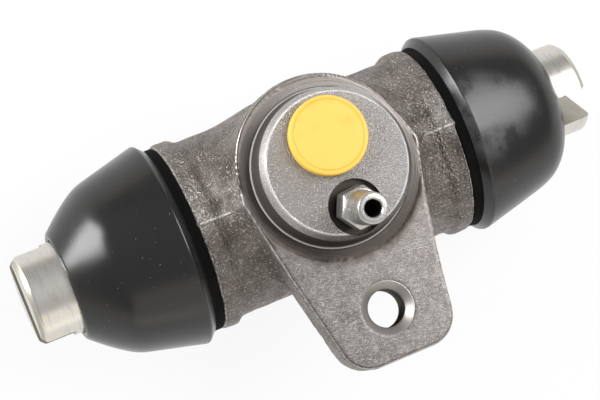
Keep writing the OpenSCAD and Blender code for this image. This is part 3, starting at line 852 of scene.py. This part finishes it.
# Port plug: yellow polyethylene shipping plug pressed into the brake-pipe port by its hollow
# stem. The head is moulded with a fine ring near its edge and faint rings at the gate.
plug_r, plug_h, plug_wall = 7.25, 1.8, 1.2
stem_r, stem_l, stem_wall = 4.5, 7.0, 1.4


def plug_profile():
    """Closed profile of the plug, with its distance measured up from the pilot's face."""
    ring = plug_r - 0.75
    hollow_r, hollow_top = stem_r - stem_wall, plug_h - plug_wall
    profile = [(plug_h, axis_r), (plug_h, ring - 0.35)]
    profile += curve((plug_h, ring - 0.3), (plug_h - 0.3, ring - 0.05), (plug_h, ring + 0.2), 7)
    profile += curve((plug_h, plug_r - 0.4), (plug_h, plug_r), (plug_h - 0.4, plug_r), 6)
    profile += [(0.1, plug_r), (0.03, plug_r - 0.1), (0.03, stem_r)]
    profile += [(0.63 - stem_l, stem_r), (-stem_l, stem_r - 0.5)]
    return profile + [(-stem_l, hollow_r), (hollow_top, hollow_r), (hollow_top, axis_r)]


yellow, tree, shader, place = new_finish("yellow_plug_plastic")
centred = add(tree, "ShaderNodeVectorMath", set_operation="SUBTRACT", in_0=place,
              in_1=(0, port_y * MM, 0))
part = add(tree, "ShaderNodeSeparateXYZ", Vector=centred.outputs[0]).outputs
flat = add(tree, "ShaderNodeCombineXYZ", X=part["X"], Y=part["Y"])
radius = add(tree, "ShaderNodeVectorMath", set_operation="LENGTH", in_0=flat.outputs[0]).outputs["Value"]
rings = use(tree, turned_lines, Distance=radius, Lines_per_m=1400.0)
marks = use(tree, dust_film, Place=place, Patch_per_m=200.0)
colour = tint(tree, marks["Dust"], (0.83, 0.53, 0.076), (0.80, 0.48, 0.06))
colour = tint(tree, sums(tree, "MULTIPLY", marks["Specks"], 0.35), colour, (0.45, 0.28, 0.03))
paint(tree, shader, colour, sums(tree, "MULTIPLY_ADD", marks["Dust"], 0.12, 0.42))
bump(tree, shader, rings["Height"], 0.00002)

plug = lathe("yellow_port_plug", plug_profile(), 40, 128)
stand_up(plug, (0, port_y, pilot_h))
plug.data.materials.append(yellow)
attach(plug, "plug")
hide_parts("port_plug")


# Studio: a white floor under the part, a low soft light behind its left end, a high one over
# its right end, a warm card in front, and the camera where the photograph was taken from.
floor_half, floor_gap = 900, 0.0005
floor_z = (cad_low[2] - floor_gap) / MM
floor_corners = [(sx * floor_half, sy * floor_half, floor_z)
                 for sx, sy in ((-1, -1), (1, -1), (1, 1), (-1, 1))]
floor = solid_piece("floor", floor_corners, [(0, 1, 2, 3)])
paper = bpy.data.materials.new("pale_floor")
paper.use_nodes = True
tree = paper.node_tree
tree.nodes.clear()
ray = tree.nodes.new("ShaderNodeLightPath").outputs
seen = sums(tree, "MULTIPLY", sums(tree, "MAXIMUM", ray["Is Camera Ray"], ray["Is Glossy Ray"]), 0.9)
matt = add(tree, "ShaderNodeBsdfDiffuse", Color=(0.8, 0.8, 0.8, 1))
glow = add(tree, "ShaderNodeEmission", Color=(1, 1, 1, 1), Strength=1.0)
blend = tree.nodes.new("ShaderNodeMixShader")
tree.links.new(seen, blend.inputs[0])
tree.links.new(matt.outputs[0], blend.inputs[1])
tree.links.new(glow.outputs[0], blend.inputs[2])
tree.links.new(blend.outputs[0], tree.nodes.new("ShaderNodeOutputMaterial").inputs[0])
floor.data.materials.append(paper)


def soft_light(name, place, aim, size, power, colour):
    """A square studio light that faces a point."""
    lamp = bpy.data.lights.new(name, "AREA")
    lamp.color = colour
    lamp.size = size
    lamp.energy = power
    made = bpy.data.objects.new(name, lamp)
    made.location = place
    made.rotation_euler = (Vector(aim) - Vector(place)).to_track_quat("-Z", "Y").to_euler()
    bpy.context.scene.collection.objects.link(made)


middle = (Vector(cad_low) + Vector(cad_high)) / 2
soft_light("left_key", (-0.53, 0.34, 0.15), middle, 0.34, 4.6, (1.0, 1.0, 1.0))
soft_light("right_key", (0.37, 0.05, 0.54), middle, 0.41, 3.7, (1.0, 1.0, 1.0))
soft_light("front_card", (0.0, -0.62, 0.12), middle, 0.8, 1.5, (1.0, 0.95, 0.86))
world = bpy.data.worlds.new("studio")
world.use_nodes = True
tree = world.node_tree
direction = tree.nodes.new("ShaderNodeTexCoord").outputs["Generated"]
rise = add(tree, "ShaderNodeSeparateXYZ", Vector=direction).outputs["Z"]
above = step_mask(tree, rise, 0.02, 0.2)
overhead = step_mask(tree, rise, 0.3, 0.9)
sky = tint(tree, above, (1.0, 0.97, 0.91), (0.40, 0.40, 0.41))
sky = tint(tree, overhead, sky, (0.50, 0.50, 0.51))
seen = tree.nodes.new("ShaderNodeLightPath").outputs["Is Camera Ray"]
tree.links.new(tint(tree, seen, sky, (1, 1, 1)), tree.nodes["Background"].inputs["Color"])
bpy.context.scene.world = world

picture_w = 600
focal_px = 2121.8
camera = bpy.data.cameras.new("camera")
camera.sensor_width = 36
camera.lens = focal_px / picture_w * camera.sensor_width
camera.clip_start = 0.01
viewer = bpy.data.objects.new("camera", camera)
roll, swing, tilt = (math.radians(degrees) for degrees in (21.88, 12.72, -2.33))
turn = Matrix.Rotation(roll, 3, "Z") @ Matrix.Rotation(swing, 3, "Y") @ Matrix.Rotation(tilt, 3, "X")
turn = turn.transposed()
viewer_at = Vector((-5.47, -5.92, 384.9)) * MM
viewer.matrix_world = Matrix.Translation(turn @ viewer_at) @ turn.to_4x4()
bpy.context.scene.collection.objects.link(viewer)
bpy.context.scene.camera = viewer
bpy.context.scene.view_settings.view_transform = "Standard"
